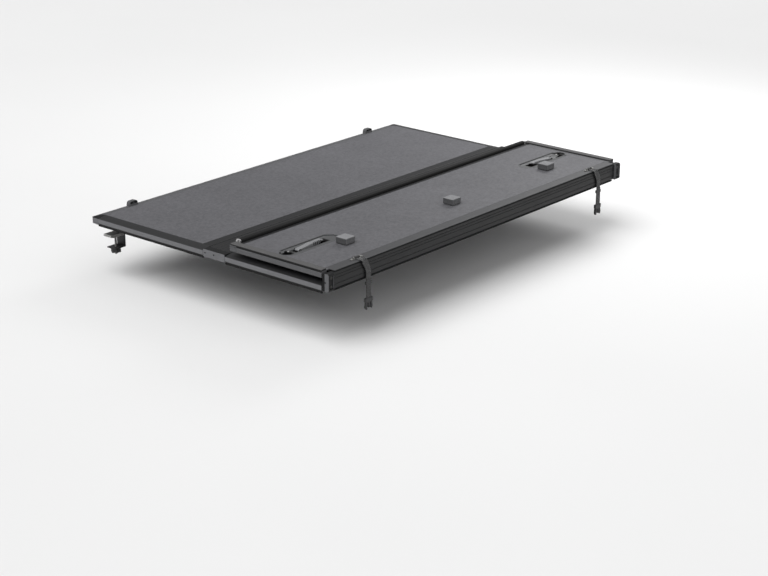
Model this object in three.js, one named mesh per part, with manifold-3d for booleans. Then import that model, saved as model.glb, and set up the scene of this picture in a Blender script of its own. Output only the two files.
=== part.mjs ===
// Hard tri-fold tonneau cover for a pickup bed, half folded: the front panel lies flat at the cab end, and
// the rear panel is folded over, underside up, on the middle panel.
// Millimetres. X runs across the truck (+X is the passenger side), +Y points to the cab and +Z up.
// The origin is the middle of the flat sole of the bulkhead seal, which rests on the front wall of the bed.

import * as THREE from "three";
import { mergeVertices } from "three/addons/utils/BufferGeometryUtils.js";
import Module from "manifold-3d";

const wasm = await Module();
wasm.setup();

// ---- Driving dimensions -------------------------------------------------------------------------------

const GAP = 0.3; // between pieces that touch
const HALF_WIDTH = 880; // middle of the cover to the outside of a side rail
const THICK = 29.5; // panel, skin to skin
const FRONT_LENGTH = 587;
const MIDDLE_LENGTH = 451;
const REAR_LENGTH = 434;
const SEAL = 6; // height of the rubber bead under the side rails, pressed down on the bed
const FREE_SEAL = 7; // height of the same bead on the folded panel, where nothing presses on it
const BEAD_WIDTH = 7; // of the beads that are pressed down,
const STRIP_WIDTH = 24; // and of the broad soft ones on the folded panel
const TAIL_SEAL = 12; // height of the bead across the tail end
const SEAL_END = 12; // from the free end of the rear panel to the ends of its side beads
const CAB_EDGE = 20; // outer face of the cab-side rail, in front of the middle of the bulkhead seal
const STACK_GAP = 14; // between the skins of the folded rear panel and the middle panel

// Rails: a C section that holds the tongue of the panel core.
const RIM = 39; // width of a rail beside the skin
const BEVEL = 6.5; // how far the outer top edge of a rail lies below the skin
const LIP = 4; // thickness of the section above and below the tongue
const TONGUE = 27; // outer face of a rail to the end of the tongue
const HINGE_RIM = 38; // the same three widths for a rail beside a hinge: top,
const HINGE_SOLE = 16; // underside,
const HINGE_TONGUE = 10; // and end of the tongue
const FLAP = 3; // thickness of the flap under each hinge

// Hinges: each is a strip with two parallel pivots. drop is the depth of the pivots below the top skin, reach
// the length of the strip beyond a pivot, flap the length of the rail's flap below the strip.
const BUMPER = { x: 602, y: 135.5, width: 51, depth: 48, height: 26 };
const RUN_CLEAR = 0.8; // between an end casting and the side rails
const FRONT_HINGE = { drop: 7, reach: 11.5, flap: 20, topGrooves: [-20, -42, -64], soleGrooves: [] };
FRONT_HINGE.span = STACK_GAP + THICK + BUMPER.height + 0.5 + 2 * FRONT_HINGE.drop;
const REAR_HINGE = { drop: 11, reach: 14.2, flap: 24.5, topGrooves: [], soleGrooves: [-36.5, -26, -5] };
REAR_HINGE.span = STACK_GAP + 2 * REAR_HINGE.drop;
const STRIP_THICK = 20;
const CASTING = 30; // width of an end casting across the truck
const CHEEK = 7; // of the casting, outside its pocket
const POCKET = 5;

// Rear clamps, in trays let into the underside of the rear panel. A tray is a shallow dish round a deep slot:
// its wall drops by step and its bed slopes on down to dish.
const TRAY = { x: 697, y: 223.5, halfLength: 141, halfWidth: 38, corner: 24, depth: 20, floor: 2.5 };
TRAY.offset = 6.5; // from the middle of the slot to the middle of the tray
TRAY.step = 3;
TRAY.dish = 7;
const SLOT = { from: 608, to: 828, halfWidth: 14.6 };
const ARM = { pivotX: 800, pivotZ: 10, tipX: 628, halfWidth: 13, thick: 4 };
const LEVER = { pivotX: 752, pivotZ: 7, tipX: 629, halfWidth: 10, notch: 4, pitch: 9 };
const PIN_RADIUS = 3;

// Front clamps, below the front panel beside the inner faces of the bed walls.
const CLAMP = { x: 800, y: 75, width: 44, plate: 4, drop: 92, jawTop: 34, jawReach: 66 };
CLAMP.stud = 30; // from the upright plate out to the stud
CLAMP.studRadius = 4;

// Straps on the hinge rail of the rear panel.
const STRAP = { x: 702, width: 25, thick: 1.8, drift: 30, barInset: 1.5, barHeight: 5.5, barRadius: 2 };
STRAP.fall = 157; // from the bar down to the end of the webbing
STRAP.edge = 28; // from the bar out to the falling part
const SLIDER_FALL = 94; // from the bar down to the middle of the slider

// Strap catches on the cab-side rail of the front panel. mouth is half as wide as the two openings together,
// and post as wide as what is between them.
const CATCH = { x: 685, y: 15, halfWidth: 20, halfDepth: 9, height: 15, mouth: 16, post: 5 };

// ---- Solids -------------------------------------------------------------------------------------------

// A manifold-3d solid from a closed three.js geometry.
function solid(geometry) {
  const bare = new THREE.BufferGeometry();
  bare.setAttribute("position", geometry.getAttribute("position"));
  bare.setIndex(geometry.getIndex());
  const merged = mergeVertices(bare, 1e-4);
  return new wasm.Manifold(
    new wasm.Mesh({
      numProp: 3,
      vertProperties: merged.attributes.position.array,
      triVerts: new Uint32Array(merged.index.array),
    }),
  );
}

function geometryOf(body) {
  const mesh = body.getMesh();
  const geometry = new THREE.BufferGeometry();
  geometry.setAttribute("position", new THREE.BufferAttribute(mesh.vertProperties, 3));
  geometry.setIndex(new THREE.BufferAttribute(mesh.triVerts, 1));
  const flat = geometry.toNonIndexed();
  flat.computeVertexNormals();
  return flat;
}

const join = (first, ...rest) => geometryOf(rest.reduce((sum, g) => sum.add(solid(g)), solid(first)));
const cut = (first, ...rest) => geometryOf(rest.reduce((left, g) => left.subtract(solid(g)), solid(first)));
const common = (first, ...rest) =>
  geometryOf(rest.reduce((left, g) => left.intersect(solid(g)), solid(first)));

// An outline extruded along one axis. Outlines are [y, z], [x, z] and [x, y].
function extrude(points, depth, right, up, away, origin) {
  const shape = new THREE.Shape(points.map(([u, v]) => new THREE.Vector2(u, v)));
  const geometry = new THREE.ExtrudeGeometry(shape, { depth, bevelEnabled: false });
  const basis = new THREE.Matrix4().makeBasis(right, up, away);
  return geometry.applyMatrix4(basis.setPosition(origin));
}

const X = new THREE.Vector3(1, 0, 0);
const Y = new THREE.Vector3(0, 1, 0);
const Z = new THREE.Vector3(0, 0, 1);
const alongX = (yz, x0, x1) => extrude(yz, x1 - x0, Y, Z, X, new THREE.Vector3(x0, 0, 0));
const alongY = (xz, y0, y1) => extrude(xz, y1 - y0, X, Z, Y.clone().negate(), new THREE.Vector3(0, y1, 0));
const alongZ = (xy, z0, z1) => extrude(xy, z1 - z0, X, Y, Z, new THREE.Vector3(0, 0, z0));

function box(x0, x1, y0, y1, z0, z1) {
  const geometry = new THREE.BoxGeometry(x1 - x0, y1 - y0, z1 - z0);
  return geometry.translate((x0 + x1) / 2, (y0 + y1) / 2, (z0 + z1) / 2);
}

// Points of a circular arc, angles in degrees.
function arc(u, v, radius, from, to, steps) {
  return Array.from({ length: steps + 1 }, (_, i) => {
    const angle = THREE.MathUtils.degToRad(from + ((to - from) * i) / steps);
    return [u + radius * Math.cos(angle), v + radius * Math.sin(angle)];
  });
}

const circle = (u, v, radius, steps) => arc(u, v, radius, 0, 360 - 360 / steps, steps - 1);

// A rectangle with cut corners, about its centre.
function octagon(u, v, halfU, halfV, corner) {
  const a = halfU - corner;
  const b = halfV - Math.min(corner, halfV - 2);
  return [
    [u + halfU, v - b], [u + halfU, v + b], [u + a, v + halfV], [u - a, v + halfV],
    [u - halfU, v + b], [u - halfU, v - b], [u - a, v - halfV], [u + a, v - halfV],
  ];
}

// A closed skin between two convex outlines with equal numbers of points, the lower one first.
function loft(lower, z0, upper, z1) {
  const count = lower.length;
  const ring = (points, z) => points.flatMap(([x, y]) => [x, y, z]);
  const index = [];
  for (let i = 0; i < count; i += 1) {
    const next = (i + 1) % count;
    index.push(i, next, count + next, i, count + next, count + i);
    if (i > 0 && i < count - 1) index.push(0, i + 1, i, count, count + i, count + i + 1);
  }
  const geometry = new THREE.BufferGeometry();
  const places = new Float32Array([...ring(lower, z0), ...ring(upper, z1)]);
  geometry.setAttribute("position", new THREE.BufferAttribute(places, 3));
  geometry.setIndex(index);
  return geometry;
}

// ---- Materials ----------------------------------------------------------------------------------------

const finish = (color, roughness, metalness) =>
  new THREE.MeshStandardMaterial({ color, roughness, metalness, flatShading: true });
const SKIN = finish(0x6d6e72, 0.75, 0.0);
const RAIL = finish(0x37383b, 0.45, 0.6);
const CAST = finish(0x303134, 0.55, 0.3);
const RUBBER = finish(0x1c1c1e, 0.85, 0.0);
const FOAM = finish(0x7b7c81, 0.9, 0.0);
const PLASTIC = finish(0x222326, 0.5, 0.0);
const GREY_PLASTIC = finish(0x6b6c72, 0.45, 0.0);
const STEEL = finish(0xb9bcc0, 0.3, 0.9);
const WEBBING = finish(0x232327, 0.85, 0.0);

function add(group, name, geometry, material) {
  const mesh = new THREE.Mesh(geometry, material);
  mesh.name = name;
  group.add(mesh);
  return mesh;
}

// One piece on each side of the truck. The geometry is that of the right one.
function addPair(group, name, geometry, material) {
  add(group, `${name}_right`, geometry, material);
  add(group, `${name}_left`, geometry, material).scale.x = -1;
}

// ---- Panels -------------------------------------------------------------------------------------------

// A panel lies with its top skin at z = 0 and its cab-side edge at y = 0, and runs to y = -length. Each of
// its two ends is FREE, with a rail and corner castings, or a HINGE end, which fits between side rails.
const FREE = { top: RIM, sole: RIM, tongue: TONGUE };
const HINGE = { top: HINGE_RIM, sole: HINGE_SOLE, tongue: HINGE_TONGUE };

// Half of the core's section at one end, from the top skin down: [distance from the end, z].
function coreEnd({ top, sole, tongue }) {
  const upper = -LIP - GAP;
  const lower = -THICK + LIP + GAP;
  return [
    [top + GAP, 0], [top + GAP, upper], [tongue + GAP, upper],
    [tongue + GAP, lower], [sole + GAP, lower], [sole + GAP, -THICK],
  ];
}

function panelCore(length, cabEnd, tailEnd) {
  const across = coreEnd(FREE);
  const right = across.map(([inset, z]) => [HALF_WIDTH - inset, z]);
  const left = across.map(([inset, z]) => [inset - HALF_WIDTH, z]);
  const cab = coreEnd(cabEnd).map(([inset, z]) => [-inset, z]);
  const tail = coreEnd(tailEnd).map(([inset, z]) => [inset - length, z]);
  const slab = common(
    alongX([...cab, ...tail.reverse()], -HALF_WIDTH, HALF_WIDTH),
    alongY([...right, ...left.reverse()], -length, 0),
  );
  const notches = [];
  const inner = RIM + GAP;
  for (const side of [-1, 1]) {
    const x = side * (HALF_WIDTH - inner / 2);
    const halves = [x - inner / 2, x + inner / 2];
    if (cabEnd === FREE) notches.push(box(...halves, -inner, 1, -THICK, 0));
    if (tailEnd === FREE) notches.push(box(...halves, -length - 1, inner - length, -THICK, 0));
  }
  return notches.length ? cut(slab, ...notches) : slab;
}

// Section of a rail at a free edge: [distance in from the outer face, z].
const REBATE = { in: 1.8, up: 5 };
const OUTER_FACE = [
  [REBATE.in, -THICK + REBATE.up], [0, -THICK + REBATE.up + 0.8],
  [0, -BEVEL - 1.2], [1.4, -BEVEL], [20, -2.4], [RIM, 0],
];
const SEAL_SLOT = [[6, -THICK], [6, -THICK + 3.4], [3, -THICK + 3.4], [3, -THICK], [REBATE.in, -THICK]];
const RAIL_SECTION = [
  ...OUTER_FACE, [RIM, -LIP], [TONGUE, -LIP],
  [TONGUE, -THICK + LIP], [RIM, -THICK + LIP], [RIM, -THICK], ...SEAL_SLOT,
];
const SOLID_SECTION = [...OUTER_FACE, [RIM, -THICK], [REBATE.in, -THICK]];

const sideRail = (y0, y1) => alongY(RAIL_SECTION.map(([inset, z]) => [HALF_WIDTH - inset, z]), y0, y1);

// Rubber bead with a stem in the slot of the side rail.
function sideSeal(y0, y1, height, width) {
  const top = -THICK - GAP;
  const low = -THICK - height;
  const inner = 1 + width;
  const bead = [
    [5.7, -THICK + 3], [3.3, -THICK + 3], [3.3, top], [1, top], [1, low + 1.5],
    [2.5, low], [inner - 1.5, low], [inner, low + 1.5], [inner, top], [5.7, top],
  ];
  return alongY(bead.map(([inset, z]) => [HALF_WIDTH - inset, z]), y0, y1);
}

function endRail(atCab, length) {
  const section = RAIL_SECTION.map(([inset, z]) => [atCab ? -inset : inset - length, z]);
  const reach = HALF_WIDTH - RIM - GAP;
  return alongX(section, -reach, reach);
}

// A casting that joins an end rail to a side rail, with a rounded outer corner.
function cornerCasting(atCab, length) {
  const along = (inset) => (atCab ? -inset : inset - length);
  const radius = 15;
  const corner = arc(radius, radius, radius, 180, 270, 6);
  const plan = [...corner, [RIM, 0], [RIM, RIM], [0, RIM]];
  return common(
    alongZ(plan.map(([a, b]) => [HALF_WIDTH - a, along(b)]), -THICK, 0),
    alongX(SOLID_SECTION.map(([inset, z]) => [along(inset), z]), HALF_WIDTH - RIM, HALF_WIDTH),
    alongY(SOLID_SECTION.map(([inset, z]) => [HALF_WIDTH - inset, z]), -length, 0),
  );
}

// The rail beside a hinge, with a flap that closes the hinge from below.
function hingeRail(atCab, length, flap) {
  const section = [
    [1.5, 0], [HINGE_RIM, 0], [HINGE_RIM, -LIP], [HINGE_TONGUE, -LIP], [HINGE_TONGUE, -THICK + LIP],
    [HINGE_SOLE, -THICK + LIP], [HINGE_SOLE, -THICK], [1 - flap, -THICK], [-flap, -THICK + 1],
    [-flap, -THICK + FLAP], [0, -THICK + FLAP], [0, -1.5],
  ];
  const reach = HALF_WIDTH - RIM - GAP;
  return alongX(section.map(([inset, z]) => [atCab ? -inset : inset - length, z]), -reach, reach);
}

function panel(name, length, cabFlap, tailFlap) {
  const group = new THREE.Group();
  const cabEnd = cabFlap ? HINGE : FREE;
  const tailEnd = tailFlap ? HINGE : FREE;
  const y1 = cabFlap ? 0 : -RIM - GAP;
  const y0 = tailFlap ? -length : RIM + GAP - length;
  add(group, `${name}_panel_core`, panelCore(length, cabEnd, tailEnd), SKIN);
  addPair(group, `${name}_side_rail`, sideRail(y0, y1), RAIL);
  const seal = tailFlap
    ? sideSeal(y0, y1, SEAL, BEAD_WIDTH)
    : sideSeal(SEAL_END + GAP - length, y1, FREE_SEAL, STRIP_WIDTH);
  addPair(group, `${name}_side_seal`, seal, RUBBER);
  return group;
}

// ---- Hinges -------------------------------------------------------------------------------------------

// A hinge group has its first pivot at y = 0, z = 0 and its second at y = -span, z = 0, with the strip flat.
function hingeOutline({ drop, span }, reach, thick, topGrooves, soleGrooves) {
  const rise = THREE.MathUtils.radToDeg(Math.asin(Math.min(1, drop / reach)));
  const low = drop - thick;
  const notch = (y, z, depth) => [[y - 1.4, z], [y, z - depth], [y + 1.4, z]];
  const top = topGrooves.flatMap((y) => notch(y, drop, 1.6).reverse());
  const sole = soleGrooves.flatMap((y) => notch(y, low, -1.8));
  return [
    ...arc(0, 0, reach, 0, rise, 4), ...top, ...arc(-span, 0, reach, 180 - rise, 180, 4),
    [-span - reach, low + 4], [-span - reach + 4, low], ...sole, [reach - 4, low], [reach, low + 4],
  ];
}

function hingeStrip(hinge) {
  const reach = Math.min(hinge.reach, hinge.drop + 4);
  const outline = hingeOutline(hinge, reach, STRIP_THICK, hinge.topGrooves, hinge.soleGrooves);
  const half = HALF_WIDTH - CASTING - GAP;
  return alongX(outline, -half, half);
}

// The casting that caps the strip at the side of the cover, as thick as the panels, with two screw holes and
// a pocket in its sole that leaves a cheek at the outside.
function hingeCasting(hinge, holes) {
  const outline = hingeOutline(hinge, hinge.reach, THICK - 0.5, [], []);
  const body = alongX(outline, HALF_WIDTH - CASTING, HALF_WIDTH);
  const bores = holes.map(([y, z]) => alongX(circle(y, z, 3.2, 12), HALF_WIDTH - 6, HALF_WIDTH + 1));
  const sole = hinge.drop - THICK + 0.5;
  const pocket = box(
    HALF_WIDTH - CASTING + 3, HALF_WIDTH - CHEEK, -hinge.span - 5, 5, sole - 1, sole + POCKET,
  );
  return cut(body, pocket, ...bores);
}

function hinge(name, dimensions, holes) {
  const group = new THREE.Group();
  add(group, `${name}_hinge_strip`, hingeStrip(dimensions), RAIL);
  addPair(group, `${name}_hinge_end_casting`, hingeCasting(dimensions, holes), CAST);
  return group;
}

// ---- Rear clamps --------------------------------------------------------------------------------------

// These are drawn in the rear panel's own frame. depth(d) is a height d mm in from the underside skin.
const depth = (d) => d - THICK;

const trayOutline = (grow) =>
  octagon(TRAY.x, TRAY.offset - TRAY.y, TRAY.halfLength + grow, TRAY.halfWidth + grow, TRAY.corner);

function clampTray() {
  const shell = alongZ(trayOutline(0), depth(0), depth(TRAY.depth));
  const mouth = trayOutline(-4);
  const middle = (SLOT.from + SLOT.to) / 2;
  const half = (SLOT.to - SLOT.from) / 2;
  const sill = octagon(middle, -TRAY.y, half + 3, SLOT.halfWidth + 3, 8);
  const wall = alongZ(mouth, depth(-0.5), depth(TRAY.step + 0.01));
  const dish = loft(mouth, depth(TRAY.step), sill, depth(TRAY.dish));
  const slot = box(
    SLOT.from, SLOT.to, -TRAY.y - SLOT.halfWidth, -TRAY.y + SLOT.halfWidth,
    depth(-1), depth(TRAY.depth - TRAY.floor),
  );
  const reach = SLOT.halfWidth + 6;
  const bore = alongY(
    circle(ARM.pivotX, depth(ARM.pivotZ), PIN_RADIUS + GAP, 12), -TRAY.y - reach, -TRAY.y + reach,
  );
  return cut(shell, wall, dish, slot, bore);
}

// A metal arm: a block with a pressed-in pin and a ramp behind it, a flat blade above the slot's floor, lugs
// for the lever, and a hooked tip.
function clampArm() {
  const plate = [depth(16.5), depth(16.5 - ARM.thick)];
  const eye = alongY(
    [
      [ARM.pivotX - 5.5, depth(1.5)], [ARM.pivotX - 4.5, depth(0.5)], [ARM.pivotX + 4.5, depth(0.5)],
      [ARM.pivotX + 5.5, depth(1.5)], ...arc(ARM.pivotX, depth(ARM.pivotZ), 6.4, 0, 180, 8),
    ],
    -TRAY.y - ARM.halfWidth, -TRAY.y + ARM.halfWidth,
  );
  const ramp = alongY(
    [
      [ARM.pivotX - 4, depth(0.8)], [LEVER.pivotX + 14, depth(12.8)],
      [LEVER.pivotX + 14, depth(15)], [ARM.pivotX - 4, depth(15)],
    ],
    -TRAY.y - ARM.halfWidth + 1, -TRAY.y + ARM.halfWidth - 1,
  );
  const blade = alongZ(
    octagon((ARM.pivotX + ARM.tipX) / 2, -TRAY.y, (ARM.pivotX - ARM.tipX) / 2, ARM.halfWidth, 4),
    plate[1], plate[0],
  );
  const lugs = [-1, 1].map((side) => {
    const outline = [
      [LEVER.pivotX + 9, plate[1] + 1], [LEVER.pivotX - 9, plate[1] + 1],
      ...arc(LEVER.pivotX, depth(LEVER.pivotZ), 4.8, 180, 360, 8),
    ];
    const inner = -TRAY.y + side * (LEVER.halfWidth + 0.5);
    const outer = -TRAY.y + side * ARM.halfWidth;
    return alongY(outline, Math.min(inner, outer), Math.max(inner, outer));
  });
  const hook = alongY(
    [
      [ARM.tipX + 5, plate[1] + 1], [ARM.tipX, plate[1] + 1], [ARM.tipX - 3, depth(3)],
      [ARM.tipX + 1, depth(2.5)], [ARM.tipX + 5, depth(8)],
    ],
    -TRAY.y - ARM.halfWidth + 2, -TRAY.y + ARM.halfWidth - 2,
  );
  const span = [-TRAY.y - ARM.halfWidth - 1, -TRAY.y + ARM.halfWidth + 1];
  const leverBore = alongY(circle(LEVER.pivotX, depth(LEVER.pivotZ), 2.8, 12), ...span);
  const room = box(
    LEVER.pivotX - 12, LEVER.pivotX + 12,
    -TRAY.y - LEVER.halfWidth - 0.5, -TRAY.y + LEVER.halfWidth + 0.5, depth(0), plate[1],
  );
  const pin = alongY(
    circle(ARM.pivotX, depth(ARM.pivotZ), PIN_RADIUS, 12),
    -TRAY.y - SLOT.halfWidth - 5, -TRAY.y + SLOT.halfWidth + 5,
  );
  return join(cut(join(eye, ramp, blade, ...lugs, hook), room, leverBore), pin);
}

// The lever, with stub pins in the arm's lugs. Its grip stands a little proud and is notched at both sides.
function clampLever() {
  const { pivotX, pivotZ, tipX, halfWidth, notch, pitch } = LEVER;
  const span = [-TRAY.y - halfWidth, -TRAY.y + halfWidth];
  const side = [
    ...arc(pivotX, depth(pivotZ), 4.6, -80, 90, 8),
    [pivotX - 40, depth(9.5)], [tipX + 24, depth(8)], [tipX + 14, depth(3)],
    [tipX + 7, depth(1)], [tipX + 1, depth(0.6)], [tipX, depth(-1)], [tipX + 3, depth(-3)],
    [tipX + 16, depth(-4)], [tipX + 60, depth(-3)], [pivotX - 22, depth(1.2)],
  ];
  const bar = alongY(side, ...span);
  const pin = alongY(circle(pivotX, depth(pivotZ), 2.5, 12), span[0] - 2.8, span[1] + 2.8);
  const notches = [0, 1, 2, 3, 4].flatMap((i) => {
    const x = tipX + 12 + pitch * i;
    return [-1, 1].map((end) => {
      const middle = -TRAY.y + end * (halfWidth + 1);
      return box(x, x + notch, middle - 4, middle + 4, depth(-5), depth(7));
    });
  });
  return join(cut(bar, ...notches), pin);
}

// ---- Straps -------------------------------------------------------------------------------------------

// The strap's own frame has the bar of its anchor as the line y = 0, z = 0. Its root is a sewn ring round the
// bar and a short run out over the rail. Its tail bends over the edge and falls, and turns about the fold.
const STRAP_LEVEL = -STRAP.barRadius - 1.6;
const STRAP_BEND = 7;
const STRAP_FOLD = STRAP_BEND - STRAP.edge;

// Sideways drift of the strap, which leaves its anchor at a slant.
function strapDrift(y, z) {
  const run = THREE.MathUtils.clamp((-y - z - 13) / 70, 0, 1);
  return STRAP.drift * run * run * (3 - 2 * run);
}

// A closed flat band along a line of [y, z] points, with a rectangular section.
function band(line, halfWidth, halfThick, drift) {
  const places = [];
  line.forEach(([y, z], i) => {
    const [before, after] = [line[Math.max(i - 1, 0)], line[Math.min(i + 1, line.length - 1)]];
    const length = Math.hypot(after[0] - before[0], after[1] - before[1]);
    const ny = ((after[1] - before[1]) / length) * halfThick;
    const nz = (-(after[0] - before[0]) / length) * halfThick;
    const x = drift(y, z);
    for (const [side, face] of [[-1, 1], [1, 1], [1, -1], [-1, -1]]) {
      places.push(x + side * halfWidth, y + face * ny, z + face * nz);
    }
  });
  const index = [0, 1, 2, 0, 2, 3];
  for (let ring = 0; ring < line.length - 1; ring += 1) {
    for (let corner = 0; corner < 4; corner += 1) {
      const [a, b] = [4 * ring + corner, 4 * ring + ((corner + 1) % 4)];
      index.push(a, a + 4, b + 4, a, b + 4, b);
    }
  }
  const last = 4 * (line.length - 1);
  index.push(last, last + 2, last + 1, last, last + 3, last + 2);
  const geometry = new THREE.BufferGeometry();
  geometry.setAttribute("position", new THREE.BufferAttribute(new Float32Array(places), 3));
  geometry.setIndex(index);
  return geometry;
}

const webbing = (line) => band(line, STRAP.width / 2, STRAP.thick / 2, strapDrift);

function strapRoot() {
  const ringInner = STRAP.barRadius + 0.7;
  const clear = alongX(circle(0, 0, ringInner, 16), -STRAP.width, STRAP.width);
  const ring = alongX(circle(0, 0, ringInner + STRAP.thick, 20), -STRAP.width / 2, STRAP.width / 2);
  const run = webbing([[0, STRAP_LEVEL], [-9, STRAP_LEVEL], [STRAP_FOLD + 1.2, STRAP_LEVEL]]);
  return cut(join(ring, run), clear);
}

function strapTail() {
  const bend = arc(STRAP_FOLD, STRAP_LEVEL - STRAP_BEND, STRAP_BEND, 90, 180, 6).slice(1);
  const falls = [28, 45, 62, 80, 104, 130, STRAP.fall].map((fall) => [-STRAP.edge, -fall]);
  return webbing([[STRAP_FOLD - 0.6, STRAP_LEVEL], ...bend, ...falls]);
}

// A loop of plastic round the falling strap.
function strapSlider() {
  const y = -STRAP.edge;
  const half = STRAP.width / 2 + 3.5;
  const around = STRAP.width / 2 + 0.6;
  const gap = STRAP.thick / 2 + 0.5;
  const outline = octagon(STRAP.drift, y, half, gap + 2.2, 1.5);
  const frame = alongZ(outline, -SLIDER_FALL - 5.5, -SLIDER_FALL + 5.5);
  const room = box(
    STRAP.drift - around, STRAP.drift + around, y - gap, y + gap, -SLIDER_FALL - 10, -SLIDER_FALL + 10,
  );
  return cut(frame, room);
}

// The male half of a side release buckle, its head closed round the end of the strap.
function strapBuckle() {
  const y = -STRAP.edge;
  const x = STRAP.drift;
  const top = -STRAP.fall + 9;
  const low = top - 42;
  const outline = [
    [x - 19, top], [x + 19, top], [x + 19, top - 13], [x + 16, top - 16], [x + 18, low + 9],
    [x + 14, low], [x + 10, low + 3], [x + 10, top - 15], [x + 4, top - 17], [x + 3, low + 6],
    [x - 3, low + 6], [x - 4, top - 17], [x - 10, top - 15], [x - 10, low + 3], [x - 14, low],
    [x - 18, low + 9], [x - 16, top - 16], [x - 19, top - 13],
  ];
  const body = alongY(outline, y - 4.5, y + 4.5);
  const half = STRAP.width / 2 + 0.6;
  const gap = STRAP.thick / 2 + 0.5;
  return cut(body, box(x - half, x + half, y - gap, y + gap, -STRAP.fall - GAP, top + 1));
}

// A footman loop: a screwed plate with two posts that carry the strap's bar above the rail.
function strapAnchor() {
  const low = -STRAP.barHeight + GAP;
  const post = STRAP.width / 2 + 1.5;
  const plate = alongZ(octagon(0, 0, 32, 7, 5), low, low + 1.6);
  const room = box(-post, post, -8, 8, low - 1, low + 3);
  const posts = [-1, 1].map((side) => {
    const outline = [...arc(0, 0, 3.4, 0, 180, 8), [-5, low], [5, low]];
    const [inner, outer] = [side * post, side * (post + 4)];
    return alongX(outline, Math.min(inner, outer), Math.max(inner, outer));
  });
  const bar = alongX(circle(0, 0, STRAP.barRadius, 12), -post - 1, post + 1);
  const screws = [-1, 1].map((side) => {
    const at = side * 25;
    return loft(circle(at, 0, 4.6, 12), low + 0.5, circle(at, 0, 3, 12), low + 3.8);
  });
  return join(cut(plate, room), ...posts, bar, ...screws);
}

// The female half of the buckle, low on the cab-side rail with its two openings towards the tailgate.
function strapCatch() {
  const { x, y, halfWidth, halfDepth, height, mouth, post } = CATCH;
  const body = alongY(
    [
      [x - halfWidth, 0], [x + halfWidth, 0], [x + halfWidth, height - 8], [x + halfWidth - 2, height - 3.5],
      [x + halfWidth - 6, height - 1], [x + halfWidth - 11, height], [x - halfWidth + 11, height],
      [x - halfWidth + 6, height - 1], [x - halfWidth + 2, height - 3.5], [x - halfWidth, height - 8],
    ],
    -y - halfDepth, -y + halfDepth,
  );
  const openings = [-1, 1].map((side) => {
    const ends = [x + side * (post / 2), x + side * mouth];
    return box(Math.min(...ends), Math.max(...ends), -y - halfDepth - 1, -y + halfDepth - 3, 4, height - 3);
  });
  const foot = alongZ(octagon(x, -y, halfWidth + 3, halfDepth + 2, 4), -3, 2.5);
  const underRail = alongX(
    [
      [0, -BEVEL], [-1.4, -BEVEL + GAP], [-20, -2.4 + GAP],
      [-RIM - 1, GAP], [-RIM - 1, -BEVEL - 3], [0, -BEVEL - 3],
    ],
    x - halfWidth - 5, x + halfWidth + 5,
  );
  return cut(join(body, foot), underRail, ...openings);
}

// ---- Front clamps -------------------------------------------------------------------------------------

// Drawn in the front panel's frame. A bracket hangs inside the bed wall; a jaw on a threaded stud rises under
// the wall's flange when the knob below is turned.
const clampLow = -THICK - CLAMP.drop;

function clampBracket() {
  const { x, plate, width } = CLAMP;
  const y0 = -CLAMP.y - width / 2;
  const y1 = -CLAMP.y + width / 2;
  const top = -THICK - GAP;
  const angle = alongY(
    [
      [x - 38, top - plate], [x - 38, top], [x + 36, top], [x + 36, top - plate],
      [x + plate, top - plate], [x + plate, clampLow + plate], [x + 52, clampLow + plate],
      [x + 54, clampLow + plate - 1], [x + 54, clampLow], [x, clampLow], [x, top - plate],
    ],
    y0, y1,
  );
  const rib = alongY(
    [[x - 26, top - plate + 1], [x + 1, top - plate + 1], [x + 1, clampLow + 30]],
    -CLAMP.y - 2, -CLAMP.y + 2,
  );
  const hole = alongZ(
    circle(x + CLAMP.stud, -CLAMP.y, CLAMP.studRadius + 0.6, 16), clampLow - 1, clampLow + plate + 1,
  );
  return cut(join(angle, rib), hole);
}

function clampJaw() {
  const { x, jawTop, jawReach, width, plate } = CLAMP;
  const top = -THICK - jawTop;
  const y0 = -CLAMP.y - width / 2 + 2;
  const y1 = -CLAMP.y + width / 2 - 2;
  const left = x + plate + 1;
  const right = x + plate + jawReach;
  const bar = alongY(
    [
      [left, top], [right - 3, top], [right, top - 3], [right, top - 8],
      [right - 14, top - 12], [left, top - 12],
    ],
    y0, y1,
  );
  const stud = alongZ(circle(x + CLAMP.stud, -CLAMP.y, CLAMP.studRadius, 16), clampLow - 26, top - 11);
  return join(bar, stud);
}

function clampKnob() {
  const at = [CLAMP.x + CLAMP.stud, -CLAMP.y];
  const lobes = Array.from({ length: 48 }, (_, i) => {
    const angle = (i / 48) * 2 * Math.PI;
    const radius = 17 + 2.5 * Math.cos(6 * angle);
    return [at[0] + radius * Math.cos(angle), at[1] + radius * Math.sin(angle)];
  });
  const top = clampLow - 1;
  const grip = alongZ(lobes, top - 17, top - 4);
  const collar = alongZ(circle(...at, 9, 20), top - 5, top);
  const bore = alongZ(circle(...at, CLAMP.studRadius + 0.6, 16), top - 18, top + 1);
  return cut(join(grip, collar), bore);
}

// ---- Bumpers and seals --------------------------------------------------------------------------------

function bumper(x) {
  const { y, width, depth: long, height } = BUMPER;
  const outline = (grow) => octagon(x, -y, width / 2 + grow, long / 2 + grow, 4);
  const body = loft(outline(-2), -THICK - height + 2, outline(0), -THICK - GAP);
  return join(body, loft(outline(-4), -THICK - height, outline(-2), -THICK - height + 2.2));
}

// A broad soft strip below an end rail: [distance in from the outer face, z].
function endSeal(atCab, length, from, to, height, halfLength) {
  const low = -THICK - height;
  const section = [
    [from, -THICK - GAP], [from, low + height * 0.4], [from + 2, low + 1], [from + 4, low],
    [to - 4, low], [to - 2, low + 1], [to, low + height * 0.4], [to, -THICK - GAP],
  ];
  return alongX(section.map(([inset, z]) => [atCab ? -inset : inset - length, z]), -halfLength, halfLength);
}

// ---- Assembly -----------------------------------------------------------------------------------------

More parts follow.
